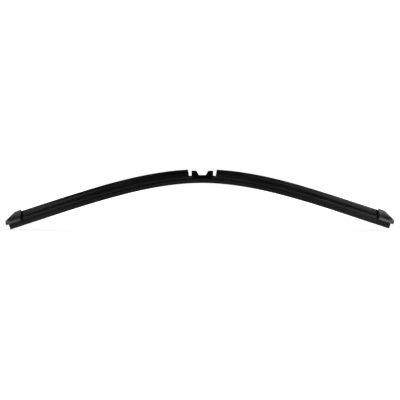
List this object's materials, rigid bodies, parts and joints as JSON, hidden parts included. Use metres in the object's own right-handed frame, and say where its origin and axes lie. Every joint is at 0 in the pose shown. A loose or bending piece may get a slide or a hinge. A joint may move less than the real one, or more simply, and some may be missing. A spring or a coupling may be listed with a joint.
{
  "type": "wiper blade",
  "caption": "Bowed flat beam wiper blade with a split fin spoiler, a notched steel connector and wedge-shaped end caps.",
  "frame": {"origin": "centre of the connector's seat plate, on its upper face between the cheeks", "axes": "+X along the blade towards its shorter arm, +Y across the blade, +Z away from the glass"},
  "size_m": [0.583, 0.0166, 0.0905],
  "materials": {
    "strip_rubber": "matte black extruded rubber",
    "spoiler_rubber": "satin black extruded rubber",
    "rail_steel": "black coated spring steel",
    "bracket_steel": "deep black coated sheet steel",
    "cap_plastic": "fine-grained black moulded plastic"
  },
  "bodies": {
    "root": {"wiper_rubber": "strip_rubber", "spring_rail_front": "rail_steel", "spring_rail_rear": "rail_steel", "spoiler_left": "spoiler_rubber", "spoiler_right": "spoiler_rubber", "connector_bracket": "bracket_steel", "end_cap_left": "cap_plastic", "end_cap_right": "cap_plastic"}
  },
  "joints": []
}
